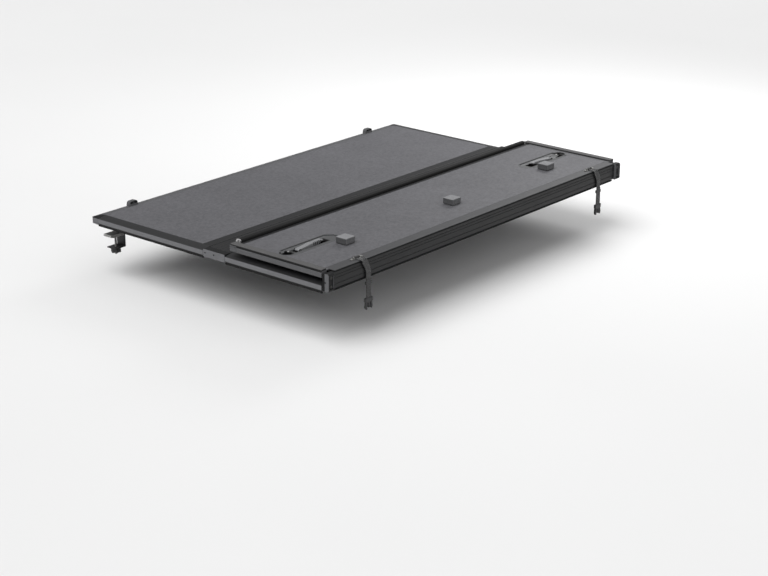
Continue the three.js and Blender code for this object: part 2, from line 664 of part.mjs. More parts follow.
const top = SEAL + THICK;
const frontEnd = CAB_EDGE - FRONT_LENGTH;
const frontPivot = frontEnd - FRONT_HINGE.reach - RUN_CLEAR;
const middleStart = frontPivot - FRONT_HINGE.span - FRONT_HINGE.reach - RUN_CLEAR;
const middleEnd = middleStart - MIDDLE_LENGTH;
const rearPivot = middleEnd - REAR_HINGE.reach - RUN_CLEAR;

const cover = new THREE.Group();

const front = panel("front", FRONT_LENGTH, 0, FRONT_HINGE.flap);
front.position.set(0, CAB_EDGE, top);
add(front, "front_cab_rail", endRail(true, FRONT_LENGTH), RAIL);
add(front, "front_hinge_rail", hingeRail(false, FRONT_LENGTH, FRONT_HINGE.flap), RAIL);
addPair(front, "front_corner_casting", cornerCasting(true, FRONT_LENGTH), CAST);
add(front, "bulkhead_seal", endSeal(true, FRONT_LENGTH, 10, 30, SEAL, HALF_WIDTH - 12), RUBBER);
addPair(front, "strap_catch", strapCatch(), PLASTIC);
addPair(front, "front_clamp_bracket", clampBracket(), STEEL);
addPair(front, "front_clamp_jaw", clampJaw(), STEEL);
addPair(front, "front_clamp_knob", clampKnob(), PLASTIC);
cover.add(front);

const frontHinge = hinge("front", FRONT_HINGE, [[1, -6], [-42, -6]]);
frontHinge.position.set(0, frontPivot, top - FRONT_HINGE.drop);
cover.add(frontHinge);

const middle = panel("middle", MIDDLE_LENGTH, FRONT_HINGE.flap, REAR_HINGE.flap);
middle.position.set(0, middleStart, top);
add(middle, "middle_front_hinge_rail", hingeRail(true, MIDDLE_LENGTH, FRONT_HINGE.flap), RAIL);
add(middle, "middle_rear_hinge_rail", hingeRail(false, MIDDLE_LENGTH, REAR_HINGE.flap), RAIL);
cover.add(middle);

// The rear hinge stands up, and the rear panel lies upside down above the middle panel.
const rearHinge = hinge("rear", REAR_HINGE, [[-REAR_HINGE.span / 2, -3]]);
rearHinge.position.set(0, rearPivot, top - REAR_HINGE.drop);
rearHinge.rotation.x = -Math.PI / 2;
cover.add(rearHinge);

const rear = panel("rear", REAR_LENGTH, REAR_HINGE.flap, 0);
rear.position.set(0, middleEnd, top + STACK_GAP);
rear.rotation.x = Math.PI;
const rearCore = rear.getObjectByName("rear_panel_core");
const pocket = alongZ(trayOutline(GAP), depth(-1), depth(TRAY.depth + GAP));
const mirrored = alongZ(trayOutline(GAP).map(([x, y]) => [-x, y]), depth(-1), depth(TRAY.depth + GAP));
rearCore.geometry = cut(rearCore.geometry, pocket, mirrored);
add(rear, "rear_hinge_rail", hingeRail(true, REAR_LENGTH, REAR_HINGE.flap), RAIL);
add(rear, "rear_tail_rail", endRail(false, REAR_LENGTH), RAIL);
const stemSlot = box(
  HALF_WIDTH - 6, HALF_WIDTH - 3, SEAL_END - REAR_LENGTH, RIM + 1 - REAR_LENGTH, -THICK - 1, -THICK + 3.4,
);
addPair(rear, "rear_corner_casting", cut(cornerCasting(false, REAR_LENGTH), stemSlot), CAST);
add(rear, "tail_seal", endSeal(false, REAR_LENGTH, 4, 24, TAIL_SEAL, HALF_WIDTH - RIM + 4), RUBBER);
for (const [name, x] of [["left", -BUMPER.x], ["middle", 0], ["right", BUMPER.x]]) {
  add(rear, `bumper_${name}`, bumper(x), FOAM);
}
addPair(rear, "rear_clamp_tray", clampTray(), GREY_PLASTIC);
addPair(rear, "rear_clamp_arm", clampArm(), STEEL);
addPair(rear, "rear_clamp_lever", clampLever(), GREY_PLASTIC);
cover.add(rear);

// Anchors and straps hang from the hinge rail of the rear panel, which lies with its underside up.
for (const [name, side] of [["left", -1], ["right", 1]]) {
  const hanger = new THREE.Group();
  hanger.position.set(side * STRAP.x, middleEnd - STRAP.barInset, top + STACK_GAP + THICK + STRAP.barHeight);
  add(hanger, `strap_anchor_${name}`, strapAnchor(), STEEL);
  add(hanger, `strap_root_${name}`, strapRoot(), WEBBING);
  add(hanger, `strap_tail_${name}`, geometryOf(solid(strapTail())), WEBBING);
  add(hanger, `strap_slider_${name}`, strapSlider(), PLASTIC);
  add(hanger, `strap_buckle_${name}`, strapBuckle(), PLASTIC);
  cover.add(hanger);
}

export default cover;
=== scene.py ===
# Hard tri-fold tonneau cover, half folded. Metres. X runs across the truck, +Y points to the cab, +Z up.
import math
import bmesh
import bpy
from mathutils import Matrix, Vector


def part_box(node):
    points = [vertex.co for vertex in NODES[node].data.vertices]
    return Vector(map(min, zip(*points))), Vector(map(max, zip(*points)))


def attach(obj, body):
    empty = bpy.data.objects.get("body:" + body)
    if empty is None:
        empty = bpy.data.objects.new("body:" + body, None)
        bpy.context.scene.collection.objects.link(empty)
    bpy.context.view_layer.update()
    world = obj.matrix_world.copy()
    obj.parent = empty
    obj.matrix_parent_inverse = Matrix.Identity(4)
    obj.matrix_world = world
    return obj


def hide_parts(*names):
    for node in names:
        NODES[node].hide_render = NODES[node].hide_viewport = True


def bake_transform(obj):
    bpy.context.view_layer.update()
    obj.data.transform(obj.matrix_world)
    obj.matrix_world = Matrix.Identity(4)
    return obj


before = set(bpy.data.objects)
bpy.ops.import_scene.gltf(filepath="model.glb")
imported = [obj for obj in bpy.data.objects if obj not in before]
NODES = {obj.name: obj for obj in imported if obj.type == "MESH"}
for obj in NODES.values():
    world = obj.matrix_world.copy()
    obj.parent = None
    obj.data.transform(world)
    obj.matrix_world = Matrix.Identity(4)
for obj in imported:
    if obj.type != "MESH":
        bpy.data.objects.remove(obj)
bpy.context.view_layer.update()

SIDES = (("left", -1), ("right", 1))
scene = bpy.context.scene

# ---- Camera ---------------------------------------------------------------------------------------------

CAMERA_AT = Vector((-5.205, -5.009, 2.144))
CAMERA_PITCH = 20.07
CAMERA_HEADING = -50.15
CAMERA_ROLL = 0.29
LENS = 86.8

camera_data = bpy.data.cameras.new("camera")
camera_data.sensor_width = 36
camera_data.lens = LENS
camera_data.clip_start = 0.1
camera_data.clip_end = 60
camera = bpy.data.objects.new("camera", camera_data)
turn = Matrix.Rotation(math.radians(CAMERA_HEADING), 4, "Z")
tilt = Matrix.Rotation(math.radians(90 - CAMERA_PITCH), 4, "X")
roll = Matrix.Rotation(math.radians(CAMERA_ROLL), 4, "Z")
camera.matrix_world = Matrix.Translation(CAMERA_AT) @ turn @ tilt @ roll
scene.collection.objects.link(camera)
scene.camera = camera
scene.view_settings.view_transform = "Standard"

# ---- Materials ------------------------------------------------------------------------------------------

# Shares of light that the surfaces return.
SKIN = 0.093
RAIL = 0.016
RIM = 0.022
CAB_RIM = 0.08
# Painted light: the next three tones belong to the outward faces of rails and castings, far lighter than the
# rest of each piece.
SIDE_PAINTED_LIGHT = 0.128
REAR_SIDE_PAINTED_LIGHT = 0.076
HINGE_SIDE_PAINTED_LIGHT = 0.1
SOLE = 0.058
STRIP = 0.015
# Painted shade: the ribbed rear hinge strip is a darker copy of the strip's tone, for its rear faces.
RIBS_PAINTED_SHADE = 0.009
CASTING = 0.012
RUBBER = 0.008
# Painted light: the side bead is the seal's black rubber given a light grey tone, as a lit copy of it.
BEAD_PAINTED_LIGHT = 0.085
FOAM = 0.2
TRAY = 0.075
LEVER = 0.2
WEBBING = 0.028

# Places where the tone of a piece changes. Those across the truck count out from its middle.
SOLE_LEVEL = 0.07  # up: the underside of the folded panel lies above
REBATE = 0.8793  # across: the rebate under a side rail lies within, the rail's outer face beyond
GAP_SHADE_EDGE = -1.1415  # along: the painted shade of the gap beside the panels lies on the cab side
BEAD_FOOT_SHADE = 0.0825  # up: the painted shadow line at the foot of a side bead lies below
TAIL_HIGHLIGHT_END = 0.8385  # across: the painted highlight at the ends of the tail bead lies beyond
TRAY_LANE = (-0.9195, -0.8868)  # along: the slot of a clamp's tray
TRAY_SHADE = ((0.6, 0.632), (0.79, 0.85))  # across: the ends of that slot, painted near-black as painted shade
GRIP = (0.6405, 0.6855)  # across: the notched grip of a lever
GRIP_EDGE = -0.9065  # along: the notches lie on the tailgate side
GRIP_PITCH = 0.009
ARM_RAMP = (0.764, 0.7965)  # across: the ramp beside the eye of an arm
THREAD_TOP = -0.04  # up: the thread of a clamp's stud lies below
THREAD_PITCH = 0.00125
EDGE_BLUR = 0.0004  # half the width of such a change,
WIDE_BLUR = 0.001  # and of a softer one

# Weave of the straps.
RIB_PITCH = 0.0016
ZIGZAG = 0.0032
WARP_PITCH = 0.0011


class Surface:
    """A Principled material with helpers for its node tree."""

    def __init__(self, name, roughness=0.6, metallic=0.0, specular=0.5):
        self.material = bpy.data.materials.new(name)
        self.material.use_nodes = True
        self.tree = self.material.node_tree
        self.shader = self.tree.nodes["Principled BSDF"]
        self.shader.inputs["Roughness"].default_value = roughness
        self.shader.inputs["Metallic"].default_value = metallic
        self.shader.inputs["Specular IOR Level"].default_value = specular
        self.coordinates = self.tree.nodes.new("ShaderNodeTexCoord")
        self.height = None

    def put(self, socket, value):
        if isinstance(value, bpy.types.NodeSocket):
            self.tree.links.new(value, socket)
        elif isinstance(value, (int, float)) and socket.type == "RGBA":
            socket.default_value = (value, value, value, 1)
        else:
            socket.default_value = value

    def noise(self, scale, detail=3.0, stretch=(1, 1, 1), roughness=0.55):
        mapping = self.tree.nodes.new("ShaderNodeMapping")
        mapping.inputs["Scale"].default_value = stretch
        self.put(mapping.inputs["Vector"], self.coordinates.outputs["Object"])
        node = self.tree.nodes.new("ShaderNodeTexNoise")
        self.put(node.inputs["Vector"], mapping.outputs["Vector"])
        node.inputs["Scale"].default_value = scale
        node.inputs["Detail"].default_value = detail
        node.inputs["Roughness"].default_value = roughness
        return node.outputs["Fac"]

    def cells(self, scale):
        node = self.tree.nodes.new("ShaderNodeTexVoronoi")
        node.feature = "F1"
        self.put(node.inputs["Vector"], self.coordinates.outputs["Object"])
        node.inputs["Scale"].default_value = scale
        return node.outputs["Distance"]

    def ramp(self, value, low, high, from_low=0.0, from_high=1.0):
        node = self.tree.nodes.new("ShaderNodeMapRange")
        self.put(node.inputs["Value"], value)
        node.inputs["From Min"].default_value = from_low
        node.inputs["From Max"].default_value = from_high
        self.put(node.inputs["To Min"], low)
        self.put(node.inputs["To Max"], high)
        return node.outputs["Result"]

    def math(self, operation, first, second=0.0):
        node = self.tree.nodes.new("ShaderNodeMath")
        node.operation = operation
        self.put(node.inputs[0], first)
        self.put(node.inputs[1], second)
        return node.outputs["Value"]

    def grey(self, value, tint=(1.0, 1.0, 1.0)):
        node = self.tree.nodes.new("ShaderNodeCombineColor")
        for socket, share in zip(node.inputs, tint):
            self.put(socket, self.math("MULTIPLY", value, share))
        return node.outputs["Color"]

    def colour(self, value):
        self.put(self.shader.inputs["Base Color"], value)

    def gloss(self, value):
        self.put(self.shader.inputs["Roughness"], value)

    def bump(self, value, depth, strength=1.0):
        node = self.tree.nodes.new("ShaderNodeBump")
        node.inputs["Distance"].default_value = depth
        node.inputs["Strength"].default_value = strength
        self.put(node.inputs["Height"], value)
        if self.height is not None:
            self.put(node.inputs["Normal"], self.height)
        self.height = node.outputs["Normal"]
        self.put(self.shader.inputs["Normal"], self.height)

    def axis(self, source, index):
        node = self.tree.nodes.new("ShaderNodeSeparateXYZ")
        self.put(node.inputs[0], self.coordinates.outputs[source])
        return node.outputs[index]

    def facing(self, index):
        """1 where the piece's own face looks along an axis, either way, and 0 where it looks elsewhere."""
        return self.ramp(self.math("ABSOLUTE", self.axis("Normal", index)), 0, 1, 0.5, 0.8)

    def past(self, index, edge):
        """1 where the piece's own coordinate is over edge, and 0 where it is under."""
        return self.ramp(self.axis("Object", index), 0, 1, edge - EDGE_BLUR, edge + EDGE_BLUR)

    def outside(self, edge, blur=EDGE_BLUR):
        """1 where a point is further from the middle of the truck than edge."""
        return self.ramp(self.math("ABSOLUTE", self.axis("Object", 0)), 0, 1, edge - blur, edge + blur)


def skin_surface():
    """Textured black sheet: a pebble grain, cloudy patches of a few millimetres and a little dust."""
    s = Surface("panel_skin", roughness=0.62, specular=0.4)
    cloud = s.noise(4, 4)
    patch = s.noise(95, 3, roughness=0.65)
    grain = s.noise(420, 2, roughness=0.7)
    pebble = s.cells(520)
    tone = s.math("ADD", s.ramp(cloud, SKIN - 0.014, SKIN + 0.014), s.ramp(patch, -0.05, 0.05))
    tone = s.math("ADD", tone, s.ramp(grain, -0.03, 0.03))
    s.colour(s.grey(tone, (0.985, 0.98, 1.06)))
    s.gloss(s.ramp(s.noise(11, 3), 0.54, 0.7))
    s.bump(pebble, 0.00025, 0.5)
    s.bump(grain, 0.00025, 0.4)
    return s.material


def coated_surface(name, tone, roughness, drawn=(1, 1, 1), side=None, groove=False, sole=None):
    """Powder-coated aluminium or steel: orange peel, slight blotches and drawing marks.
    side is the tone of its outward faces, lighter than the rest as painted light; groove paints shade,
    near-black, into the rebate under them; and sole is the tone of what lies above the underside of the
    folded panel."""
    s = Surface(name, roughness=roughness, specular=0.25)
    peel = s.noise(900, 2)
    blotch = s.noise(16, 4)
    lines = s.noise(140, 2, stretch=drawn)
    marks = s.math("MULTIPLY", s.ramp(blotch, 0.88, 1.12), s.ramp(lines, 0.9, 1.1))
    base = tone
    if sole is not None:
        base = s.ramp(s.past(2, SOLE_LEVEL), tone, sole)
    # Painted light: faces that look across the truck take the lighter tone side.
    if side is not None:
        faces = s.facing(0)
        side_painted_light = s.math("MULTIPLY", faces, side)
        base = s.math("ADD", side_painted_light, s.math("MULTIPLY", s.math("SUBTRACT", 1, faces), base))
    if groove:
        # Painted shade: the rebate under a side rail, within REBATE, goes near-black.
        rebate = s.math("MULTIPLY", s.math("SUBTRACT", 1, s.outside(REBATE)), s.facing(0))
        base = s.math("MULTIPLY", base, s.ramp(rebate, 1, 0.02))
    s.colour(s.grey(s.math("MULTIPLY", marks, base), (0.985, 0.99, 1.04)))
    s.gloss(s.ramp(s.noise(30, 3), roughness - 0.07, roughness + 0.07))
    s.bump(peel, 0.00012, 0.5)
    return s.material


def casting_surface(name, side, gap_shade=False):
    """Die-cast zinc under black paint, with a sandy face and small pits. Its outward cheek has the tone side,
    lighter as painted light; the last flag paints shade, near-black, on its part on the cab side, beside the
    panels."""
    s = Surface(name, roughness=0.5, specular=0.14)
    sand = s.noise(1400, 2, roughness=0.7)
    pits = s.ramp(s.cells(260), 0.0, 1.0, 0.02, 0.22)
    # Painted light: faces that look across the truck take the lighter tone side.
    base = s.ramp(s.facing(0), CASTING, side)
    if gap_shade:
        # Painted shade: the deep gap between the rail ends and the casting goes near-black.
        base = s.math("MULTIPLY", base, s.ramp(s.past(1, GAP_SHADE_EDGE), 1, 0.06))
    tone = s.math("MULTIPLY", base, s.ramp(s.noise(24, 4), 0.85, 1.15))
    s.colour(s.grey(tone, (0.98, 0.99, 1.04)))
    s.gloss(s.ramp(s.noise(60, 3), 0.42, 0.6))
    s.bump(sand, 0.00014, 0.6)
    s.bump(pits, 0.0001, 0.35)
    return s.material


def rubber_surface(name, tone, root=None, highlight_end=None):
    """Extruded EPDM with drawn lines and bloom. Below root the bead is darkened as a painted shadow line, and
    where the last argument is given, its ends beyond that reach across the truck carry a mottled painted
    highlight."""
    s = Surface(name, roughness=0.72, specular=0.2)
    bloom = s.noise(18, 4)
    base = s.ramp(bloom, tone * 0.8, tone * 1.25)
    # Painted shade: a dark line along the foot of the bead.
    if root is not None:
        base = s.math("MULTIPLY", base, s.ramp(s.past(2, root), 0.1, 1))
    # Painted highlight: mottled pale patches on the bead's ends.
    if highlight_end is not None:
        cells = s.ramp(s.noise(210, 2), 0.02, 0.5, 0.35, 0.65)
        base = s.math("ADD", base, s.math("MULTIPLY", cells, s.outside(highlight_end, WIDE_BLUR)))
    s.colour(s.grey(base, (1.0, 0.99, 1.0)))
    s.gloss(s.ramp(bloom, 0.62, 0.82))
    s.bump(s.noise(700, 2), 0.00015, 0.5)
    return s.material


def foam_surface():
    """Closed-cell foam with open cells at its cut skin."""
    s = Surface("bumper_foam", roughness=0.9, specular=0.15)
    pores = s.cells(900)
    large = s.ramp(s.cells(210), 0.0, 1.0, 0.05, 0.3)
    # Painted light and shade: faces looking up or down keep the full tone, the others are painted darker, and
    # those looking across the truck darker still.
    base = s.math("MULTIPLY", s.ramp(s.facing(2), FOAM * 0.62, FOAM), s.ramp(s.facing(0), 1, 0.55))
    tone = s.math("MULTIPLY", base, s.math("MULTIPLY", s.ramp(pores, 0.8, 1.25), s.ramp(large, 0.8, 1.0)))
    s.colour(s.grey(tone, (0.99, 0.995, 1.03)))
    s.bump(pores, 0.0004, 0.6)
    s.bump(large, 0.0003, 0.5)
    return s.material


def plastic_surface(name, tone, roughness, dark=()):
    """Moulded plastic with a spark-eroded grain and faint flow marks.
    dark lists spans, out from the middle of the truck, in which the middle of a tray is painted near-black as
    painted shade."""
    s = Surface(name, roughness=roughness, specular=0.35)
    flow = s.noise(14, 3, stretch=(0.4, 2.2, 1.6))
    spark = s.noise(1300, 2, roughness=0.65)
    base = s.ramp(flow, tone * 0.9, tone * 1.1)
    for near, far in dark:
        # Painted shade: within each span the slot goes near-black.
        lane = s.math("SUBTRACT", s.past(1, TRAY_LANE[0]), s.past(1, TRAY_LANE[1]))
        span = s.math("SUBTRACT", s.outside(near), s.outside(far))
        base = s.math("MULTIPLY", base, s.ramp(s.math("MULTIPLY", lane, span), 1, 0.08))
    s.colour(s.grey(base, (0.98, 0.995, 1.03)))
    s.gloss(s.ramp(s.noise(40, 3), roughness - 0.08, roughness + 0.08))
    s.bump(spark, 0.00012, 0.55)
    return s.material


def lever_surface():
    """The lever's moulding, with its grip notches painted dark as painted shade."""
    s = Surface("lever_plastic", roughness=0.45, specular=0.35)
    out = s.math("ABSOLUTE", s.axis("Object", 0))
    teeth = s.math("SINE", s.math("MULTIPLY", s.math("SUBTRACT", out, GRIP[0]), 2 * math.pi / GRIP_PITCH))
    grip = s.math("SUBTRACT", s.outside(GRIP[0]), s.outside(GRIP[1]))
    edge = s.math("SUBTRACT", 1, s.past(1, GRIP_EDGE))
    # Painted shade: the notches of the grip are darkened.
    notched = s.math("MULTIPLY", s.math("MULTIPLY", grip, edge), s.ramp(teeth, 0, 1, 0.0, 0.3))
    base = s.math("MULTIPLY", s.ramp(s.noise(30, 3), LEVER * 0.9, LEVER * 1.1), s.ramp(notched, 1, 0.15))
    s.colour(s.grey(base, (0.98, 0.995, 1.03)))
    s.gloss(s.ramp(s.noise(60, 3), 0.38, 0.55))
    s.bump(s.noise(1300, 2, roughness=0.65), 0.00012, 0.55)
    return s.material


def arm_surface():
    """Plated steel arm in its own tone on the ramp beside its eye, painted near-black along its blade and on
    the eye as painted shade.
    """
    s = Surface("arm_metal", roughness=0.42, specular=0.12)
    # Painted shade: outside the ramp the arm goes near-black and less metallic.
    beyond = s.outside(ARM_RAMP[0], WIDE_BLUR)
    ramp_unshaded = s.math("MULTIPLY", beyond, s.math("SUBTRACT", 1, s.outside(ARM_RAMP[1], WIDE_BLUR)))
    base = s.math("MULTIPLY", s.ramp(ramp_unshaded, 0.004, 0.13), s.ramp(s.noise(60, 4), 0.85, 1.15))
    s.colour(s.grey(base, (0.99, 1.0, 1.01)))
    s.put(s.shader.inputs["Metallic"], s.ramp(ramp_unshaded, 0.1, 0.35))
    s.gloss(s.ramp(s.noise(80, 3), 0.34, 0.5))
    s.bump(s.noise(900, 2), 0.0001, 0.5)
    return s.material


def steel_surface(name, tone, roughness, thread=False):
    """Zinc-plated steel with a brushed grain and spangled plating. A stud carries a thread."""
    s = Surface(name, roughness=roughness, metallic=0.9)
    spangle = s.cells(340)
    s.colour(s.grey(s.ramp(spangle, tone * 0.85, tone * 1.12), (1.0, 0.995, 0.97)))
    s.gloss(s.ramp(s.noise(50, 4), roughness - 0.1, roughness + 0.14))
    s.bump(s.noise(600, 2, stretch=(1, 6, 1)), 0.00008, 0.5)
    if thread:
        ridge = s.math("SINE", s.math("MULTIPLY", s.axis("Object", 2), 2 * math.pi / THREAD_PITCH))
        threaded = s.math("LESS_THAN", s.axis("Object", 2), THREAD_TOP)
        s.bump(s.math("MULTIPLY", ridge, threaded), 0.0004, 0.8)
    return s.material


def webbing_surface():
    """Black polyester webbing: a twill of ribs across it, a selvedge at each side and frayed highlights.
    The UV map holds metres across and along the strap."""
    s = Surface("webbing", roughness=0.82, specular=0.22)
    across = s.axis("UV", 0)
    along = s.axis("UV", 1)
    zigzag = s.math("PINGPONG", across, ZIGZAG)
    slanted = s.math("ADD", along, s.math("MULTIPLY", zigzag, 0.9))
    weft = s.math("SINE", s.math("MULTIPLY", slanted, 2 * math.pi / RIB_PITCH))
    warp = s.math("SINE", s.math("MULTIPLY", across, 2 * math.pi / WARP_PITCH))
    weave = s.math("ADD", weft, s.math("MULTIPLY", warp, 0.5))
    threads = s.ramp(weave, WEBBING * 0.55, WEBBING * 1.6, -1.5, 1.5)
    tone = s.math("MULTIPLY", threads, s.ramp(s.noise(260, 3), 0.75, 1.25))
    s.colour(s.grey(tone, (1.0, 1.0, 1.02)))
    s.bump(weave, 0.00035, 0.8)
    s.shader.inputs["Sheen Weight"].default_value = 0.25
    s.shader.inputs["Sheen Roughness"].default_value = 0.5
    return s.material


# Stretch of the drawing marks of a rail that runs across or along the truck.
ACROSS = (0.06, 1, 1)
ALONG = (1, 0.06, 1)
skin = skin_surface()
end_rail = coated_surface("end_rail", RAIL, 0.5, ACROSS, sole=SOLE)
cab_rail = coated_surface("cab_rail", CAB_RIM, 0.5, ACROSS)
side_rail = coated_surface("side_rail", RIM, 0.46, ALONG, side=SIDE_PAINTED_LIGHT, groove=True)
rear_side_rail = coated_surface("rear_side_rail", SKIN, 0.5, ALONG, side=REAR_SIDE_PAINTED_LIGHT, groove=True)
tail_rail = coated_surface("tail_rail", STRIP, 0.5, ACROSS)
front_strip = coated_surface("front_hinge_strip", STRIP, 0.5, ACROSS)
rear_strip = coated_surface("rear_hinge_strip", RIBS_PAINTED_SHADE, 0.42, ACROSS)
casting = casting_surface("casting", SIDE_PAINTED_LIGHT)
rear_casting = casting_surface("corner_casting", REAR_SIDE_PAINTED_LIGHT)
hinge_casting = casting_surface("rear_hinge_casting", HINGE_SIDE_PAINTED_LIGHT, gap_shade=True)
rubber = rubber_surface("seal_rubber", RUBBER)
side_bead = rubber_surface("side_bead_rubber", BEAD_PAINTED_LIGHT, root=BEAD_FOOT_SHADE)
tail_bead = rubber_surface("tail_bead_rubber", RUBBER, highlight_end=TAIL_HIGHLIGHT_END)
foam = foam_surface()
tray = plastic_surface("tray_plastic", TRAY, 0.55, dark=TRAY_SHADE)
lever = lever_surface()
black_plastic = plastic_surface("black_plastic", 0.022, 0.38)
catch_plastic = plastic_surface("catch_plastic", 0.08, 0.42)
arm_metal = arm_surface()
clamp_metal = coated_surface("clamp_metal", 0.03, 0.42)
anchor_steel = steel_surface("anchor_steel", 0.28, 0.4)
screw_steel = steel_surface("screw_steel", 0.4, 0.34)
black_screw = steel_surface("black_screw", 0.07, 0.4)
jaw_steel = steel_surface("jaw_steel", 0.3, 0.4, thread=True)
webbing = webbing_surface()

# The first of these words in the name of a CAD node gives its material and the rounding of its edges in
# millimetres.
LOOKS = (
    ("panel_core", skin, 0.4),
    ("rear_corner_casting", rear_casting, 1.0),
    ("rear_hinge_end_casting", hinge_casting, 1.0),
    ("casting", casting, 1.0),
    ("front_hinge_strip", front_strip, 0.7),
    ("rear_hinge_strip", rear_strip, 0.7),
    ("rear_side_rail", rear_side_rail, 0.9),
    ("side_rail", side_rail, 0.9),
    ("rear_tail_rail", tail_rail, 0.9),
    ("front_cab_rail", cab_rail, 0.9),
    ("_rail", end_rail, 0.9),
    ("rear_side_seal", side_bead, 0.8),
    ("tail_seal", tail_bead, 1.6),
    ("seal", rubber, 0.8),
    ("tray", tray, 0.6),
    ("arm", arm_metal, 0.5),
    ("lever", lever, 0.9),
    ("anchor", anchor_steel, 0.4),
    ("catch", catch_plastic, 0.8),
    ("slider", black_plastic, 0.8),
    ("buckle", black_plastic, 0.8),
    ("bracket", clamp_metal, 0.6),
    ("jaw", jaw_steel, 0.5),
    ("knob", black_plastic, 1.2),
)

# In soften: angles between two faces in degrees, and the reach of the weld.
SHARP = 28
FLAT = 0.5
WELD = 0.00002


def soften(obj, width):
    """Rounds the sharp edges of a faceted solid without moving its faces."""
    weld = obj.modifiers.new("weld", "WELD")
    weld.merge_threshold = WELD
    flat = obj.modifiers.new("flat", "DECIMATE")
    flat.decimate_type = "DISSOLVE"
    flat.angle_limit = math.radians(FLAT)
    bevel = obj.modifiers.new("bevel", "BEVEL")
    bevel.width = width / 1000
    bevel.segments = 2
    bevel.limit_method = "ANGLE"
    bevel.angle_limit = math.radians(SHARP)
    bevel.harden_normals = False
    normals = obj.modifiers.new("normals", "WEIGHTED_NORMAL")
    normals.keep_sharp = False
    for face in obj.data.polygons:
        face.use_smooth = True


for name, node in NODES.items():
    for word, material, rounding in LOOKS:
        if word in name:
            node.data.materials.clear()
            node.data.materials.append(material)
            soften(node, rounding)
            break

# ---- Mesh helpers ---------------------------------------------------------------------------------------


def new_object(name, mesh, material, body):
    """A smooth piece with a material. Without a body it is left for a later call to place on one."""
    piece = bpy.data.objects.new(name, mesh)
    scene.collection.objects.link(piece)
    mesh.materials.append(material)
    for face in mesh.polygons:
        face.use_smooth = True
    if body:
        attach(piece, body)
    return piece


def finished(bm, name):
    """The mesh of what was built in bm."""
    mesh = bpy.data.meshes.new(name)
    bm.to_mesh(mesh)
    bm.free()
    return mesh


def loft(bm, rings):
    """Walls between rings of as many corners, and a cap at each end."""
    for first, second in zip(rings, rings[1:]):
        count = len(first)
        for k in range(count):
            after = (k + 1) % count
            bm.faces.new((first[k], first[after], second[after], second[k]))
    bm.faces.new(list(reversed(rings[0])))
    bm.faces.new(rings[-1])


def sweep(bm, line, section):
    """A section swept along a line, its width along X as far as the line allows. Returns the rings."""
    rings = []
    for i, here in enumerate(line):
        ahead = (line[min(i + 1, len(line) - 1)] - line[max(i - 1, 0)]).normalized()
        across = Vector((1, 0, 0))
        across = (across - ahead * across.dot(ahead)).normalized()
        out = across.cross(ahead)
        rings.append([bm.verts.new(here + across * u + out * v) for u, v in section])
    loft(bm, rings)
    return rings


def aimed(direction):
    """The turn that points Z along a direction."""
    return Vector(direction).to_track_quat("Z", "Y").to_matrix().to_4x4()


# ---- Straps ---------------------------------------------------------------------------------------------

STRAP_X = 0.702
STRAP_WIDTH = 0.025
STRAP_THICK = 0.0018
STRAP_STEP = 6  # millimetres from one ring of its mesh to the next
BAR = Vector((0, -1.1281, 0.0845))
BAR_RADIUS = 0.002
BAR_CLEAR = 0.0007
DRIFT = 0.03  # to the right, from the bar to the end
DRIFT_START = 0.013
DRIFT_RUN = 0.07
EDGE = 0.028  # from the bar out to the fall
LEVEL = -0.0036
BEND = 0.007
FALL = 0.157
SLIDER_FALL = 0.094
SLIDER_ABOVE = 14  # millimetres from the start of the doubled part down to the slider's middle


def drift(y, z):
    """How far a strap has wandered to the right at a point of its run."""
    run = min(max((-y - z - DRIFT_START) / DRIFT_RUN, 0), 1)
    return DRIFT * run * run * (3 - 2 * run)


def strap_point(sign, y, z, proud=0.0):
    """A point of a strap from its place beside the bar. proud is how far it stands out from the fall."""
    return Vector((sign * STRAP_X + drift(y, z), BAR.y + y - proud, BAR.z + z))


def strap_line(sign):
    """The single run of a strap, from under its bar to the end in the buckle."""
    line = [strap_point(sign, y, LEVEL) for y in (-0.001, -0.006, -0.012, -0.017)]
    for step in range(9):
        angle = math.radians(90 + 90 * step / 8)
        y, z = BEND - EDGE + BEND * math.cos(angle), LEVEL - BEND + BEND * math.sin(angle)
        line.append(strap_point(sign, y, z))
    fall = BEND - LEVEL
    while fall < FALL - STRAP_STEP / 1000:
        fall += STRAP_STEP / 1000
        line.append(strap_point(sign, -EDGE, -fall))
    return line + [strap_point(sign, -EDGE, -FALL)]


def ribbon_section(width, thick, columns=9):
    """The outline of a flat band with rounded selvedges."""
    half = width / 2
    top = [(half * (2 * i / (columns - 1) - 1) * 0.96, thick / 2) for i in range(columns)]
    bottom = [(u, -v) for u, v in reversed(top)]
    return [*top, (half, thick / 4), (half, -thick / 4), *bottom, (-half, -thick / 4), (-half, thick / 4)]


def bar_ring(sign):
    """The turn of a strap round its bar."""
    radius = BAR_RADIUS + BAR_CLEAR + STRAP_THICK / 2
    ring = []
    for step in range(19):
        angle = math.radians(-90 - 250 * step / 18 + 360)
        y, z = BAR.y - radius * math.cos(angle + math.pi), BAR.z + radius * math.sin(angle)
        ring.append(Vector((sign * STRAP_X, y, z)))
    return ring


def doubled_line(sign):
    """The second layer of a strap, from its slider to the buckle."""
    falls = range(int(SLIDER_FALL * 1000) - SLIDER_ABOVE, int(FALL * 1000) - 1, STRAP_STEP)
    return [strap_point(sign, -EDGE, -fall / 1000, STRAP_THICK * 0.97) for fall in falls]


